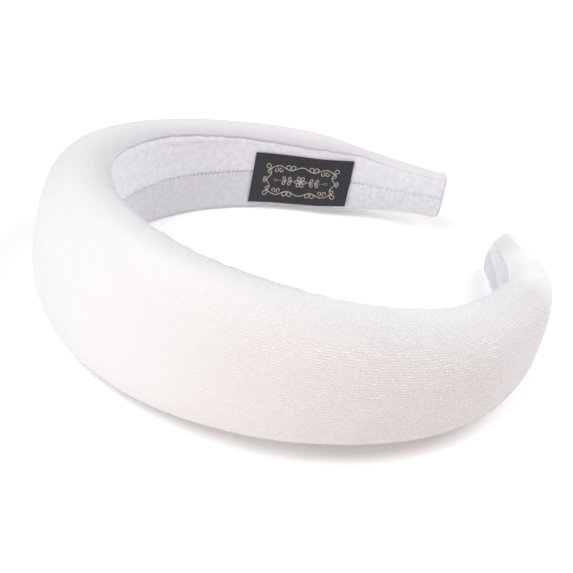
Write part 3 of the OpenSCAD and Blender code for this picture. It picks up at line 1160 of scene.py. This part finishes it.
def framePaths():  # a quarter of the wavy vine round the label, with its curls
    wide, high = ornament["frame"]
    wave, radius = ornament["waveHeight"], ornament["curlRadius"]
    beat = 2 * math.pi * ornament["wavesAlong"] / (2 * wide)
    x = np.linspace(0, wide - ornament["vineEnd"], 90)
    paths = [np.stack([x, high + wave * np.cos(beat * x)], -1)]
    near = radius * ornament["curlSet"]
    for k in range(1, ornament["wavesAlong"] * 2, 2):
        trough = k * math.pi / beat
        if trough < wide - 1:
            paths.append(curl(trough - radius, high - wave + near, radius, -75, 0.95))
            paths.append(curl(trough + radius, high - wave + near, radius, 255, -0.95))
    crest = 2 * math.pi / beat
    small = radius * ornament["smallCurl"]
    y = high + wave - radius * ornament["smallCurlDrop"]
    paths.append(curl(crest - near, y, small, 80, -0.9))
    paths.append(curl(crest + near, y, small, 100, 0.9))
    inset, drop, *shape = ornament["cornerLeaf"]
    paths.append(leaf(wide - inset, high - drop, *shape))
    inset, drop = ornament["cornerCurl"]
    paths.append(curl(wide - inset, high - drop, small, 100, -1.2))
    top = high - ornament["sideVineDrop"]
    y = np.linspace(0, top, 40)
    x = wide - ornament["sideVine"] + wave * np.cos(math.pi * y / top * ornament["sideWaves"])
    paths.append(np.stack([x, y], -1))
    inset, *shape = ornament["sideBud"]
    paths.append(leaf(wide - inset, 0, *shape))
    return paths


def sprigPaths():
    start, length, size = (ornament[key] for key in ("sprigStart", "sprigLength", "leafLength"))
    x = np.linspace(start, start + length, 24)
    after, width, angle = ornament["leafShape"]
    paths = [np.stack([x, 0 * x], -1)]
    for quarters in ornament["leafPlaces"]:
        paths.append(leaf(start + after + length * quarters / 4, 0, size, width, angle))
    paths.append(leaf(start + length, 0, size, ornament["endLeafWidth"], 0))
    return paths


def flowerPaths():
    size, turn = (ornament["petalLength"], ornament["petalWidth"]), 360 / ornament["petals"]
    return [leaf(0, 0, *size, turn * k) for k in range(ornament["petals"])]


def makeLabel():
    places = [np.linspace(0, 1, label[key]) for key in ("columns", "rows")]
    x, y = np.meshgrid(*places, indexing="ij")
    length, height = label["length"], ornament["sheet"][1]
    r = label["edgeRound"]
    fromEdge = np.minimum(np.minimum(x, 1 - x) * length, np.minimum(y, 1 - y) * height)
    rounded = r - np.sqrt(r**2 - np.clip(r - fromEdge, 0, r) ** 2)
    face, back = onLabel(x, y, label["thickness"] - rounded), onLabel(x, y, 0)
    rings = np.concatenate([face, back[:, ::-1]], 1)
    flat = np.stack([x * length, y * height], -1)
    mapping = np.concatenate([flat, flat[:, ::-1]], 1)
    ground = wovenMaterial(damaskLabel)
    piece = addMesh("label_cloth", rings, tubeFaces(*rings.shape[:2]), ground, mapping)
    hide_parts("woven_label")


def makeOrnament():
    quarter = framePaths() + sprigPaths()
    paths = [path * (a, b) for path in quarter for a in (1, -1) for b in (1, -1)]
    points, faces, mapping = [], [], []
    wide, high = ornament["threadWidth"] / 2, ornament["threadHeight"]
    # a strand's section: how far across it, and how far up from the label
    across = np.array([-wide, -wide, -wide / 2, wide / 2, wide, wide])
    root = -ornament["threadRoot"]
    lift = label["thickness"] + np.array([root, high / 3, high, high, high / 3, root])
    length, height = ornament["sheet"]
    for path in paths + flowerPaths():
        line = path + ornament["centre"]
        heading = np.gradient(line, axis=0)
        heading /= np.maximum(np.linalg.norm(heading, axis=1, keepdims=True), 1e-9)
        run = np.append(0, np.cumsum(np.linalg.norm(np.diff(line, axis=0), axis=1)))
        x = line[:, :1] - heading[:, 1:] * across
        y = line[:, 1:] + heading[:, :1] * across
        first = len(points) * len(across)
        faces += [[first + i for i in face] for face in tubeFaces(len(line), len(across))]
        points += list(onLabel(x / length, y / height, lift))
        mapping += list(np.stack(np.broadcast_arrays(run[:, None], across[None]), -1))
    points, mapping = np.array(points), np.array(mapping)
    piece = addMesh("label_ornament", points, faces, wovenMaterial(labelWeft), mapping)


makeLabel()
makeOrnament()
print("label made")

# The camera stands where the photo was taken from. Azimuth 0 looks at the crown, and lengths are
# in millimetres
photoView = {
    "azimuth": 45.8,
    "elevation": 28.35,
    "distance": 313.2,
    "target": (0, 0, 20),
    "aimRight": -0.454,
    "aimUp": -2.542,
    "roll": 10.5,
    "focalPixels": 1091,
    "imagePixels": 573,
    "sensor": 36,
    "nearest": 10,
}


def outwards(azimuth, elevation):  # from the band towards a light or a camera
    around, above = math.radians(azimuth), math.radians(elevation)
    level = math.cos(above)
    return Vector((math.sin(around) * level, -math.cos(around) * level, math.sin(above)))


def placeCamera():
    back = outwards(photoView["azimuth"], photoView["elevation"])
    right = (-back).cross(Vector((0, 0, 1))).normalized()
    up = right.cross(-back)
    forward = -back + right * math.tan(math.radians(photoView["aimRight"]))
    forward = (forward + up * math.tan(math.radians(photoView["aimUp"]))).normalized()
    right = forward.cross(Vector((0, 0, 1))).normalized()
    up = right.cross(forward)
    roll = math.radians(photoView["roll"])
    rolledRight = right * math.cos(roll) + up * math.sin(roll)
    rolledUp = up * math.cos(roll) - right * math.sin(roll)
    data = bpy.data.cameras.new("photo camera")
    data.sensor_width = photoView["sensor"]
    data.lens = photoView["focalPixels"] / photoView["imagePixels"] * data.sensor_width
    data.clip_start = photoView["nearest"] * mm
    camera = bpy.data.objects.new("photo camera", data)
    bpy.context.scene.collection.objects.link(camera)
    turn = Matrix((rolledRight, rolledUp, -forward)).transposed()
    camera.matrix_world = turn.to_4x4()
    camera.location = (Vector(photoView["target"]) + back * photoView["distance"]) * mm
    bpy.context.scene.camera = camera


placeCamera()

# A pale table and soft studio lights: two in front of the crown, a cool one from the left, two
# behind the band and a weak warm one from the right. Lengths are in metres
studio = {
    "floorSize": 4.0,
    "floor": "#FBFBFB",
    "floorGlow": 0.12,
    "floorRoughness": 0.9,
    "worldStrength": 0.3,
    "world": "#FFE8DB",
    "distance": 0.9,
    "size": 0.6,
    # azimuth, elevation, power in watts, colour
    "lights": {
        "high key": (0, 55, 4.32, "#ECF8FE"),
        "low key": (0, 20, 1.26, "#FFEBD9"),
        "left fill": (-45, 20, 1.1, "#C4E5FF"),
        "high back": (135, 55, 3.65, "#FCFCFF"),
        "low back": (180, 20, 2.5, "#E1EFFF"),
        "warm bounce": (72, 0, 1.5, "#FFD2B4"),
    },
}


def dressStudio():
    scene = bpy.context.scene
    scene.view_settings.view_transform = "Standard"
    world = bpy.data.worlds.new("studio")
    scene.world = world
    world.use_nodes = True
    background = world.node_tree.nodes["Background"]
    background.inputs["Color"].default_value = hexColour(studio["world"])
    background.inputs["Strength"].default_value = studio["worldStrength"]
    for name, (azimuth, elevation, power, colour) in studio["lights"].items():
        back = outwards(azimuth, elevation)
        data = bpy.data.lights.new(name, "AREA")
        data.shape = "DISK"
        data.size = studio["size"]
        data.energy = power
        data.color = hexColour(colour)[:3]
        lamp = bpy.data.objects.new(name, data)
        scene.collection.objects.link(lamp)
        lamp.location = back * studio["distance"]
        lamp.rotation_mode = "QUATERNION"
        lamp.rotation_quaternion = back.to_track_quat("Z", "Y")
    # a lit table of white acrylic, sanded matt: it glows a little, so the shadows stay pale
    material, tree, shader = newMaterial("sanded opal acrylic")
    shader.inputs["Emission Color"].default_value = (1, 1, 1, 1)
    shader.inputs["Emission Strength"].default_value = studio["floorGlow"]
    shader.inputs["Base Color"].default_value = hexColour(studio["floor"])
    shader.inputs["Roughness"].default_value = studio["floorRoughness"]
    half = studio["floorSize"] / 2
    mesh = bpy.data.meshes.new("acrylic_table")
    corners = [(-half, -half, 0), (half, -half, 0), (half, half, 0), (-half, half, 0)]
    mesh.from_pydata(corners, [], [(0, 1, 2, 3)])
    mesh.materials.append(material)
    floor = bpy.data.objects.new("acrylic_table", mesh)
    scene.collection.objects.link(floor)


dressStudio()
print("camera, lights and floor placed")
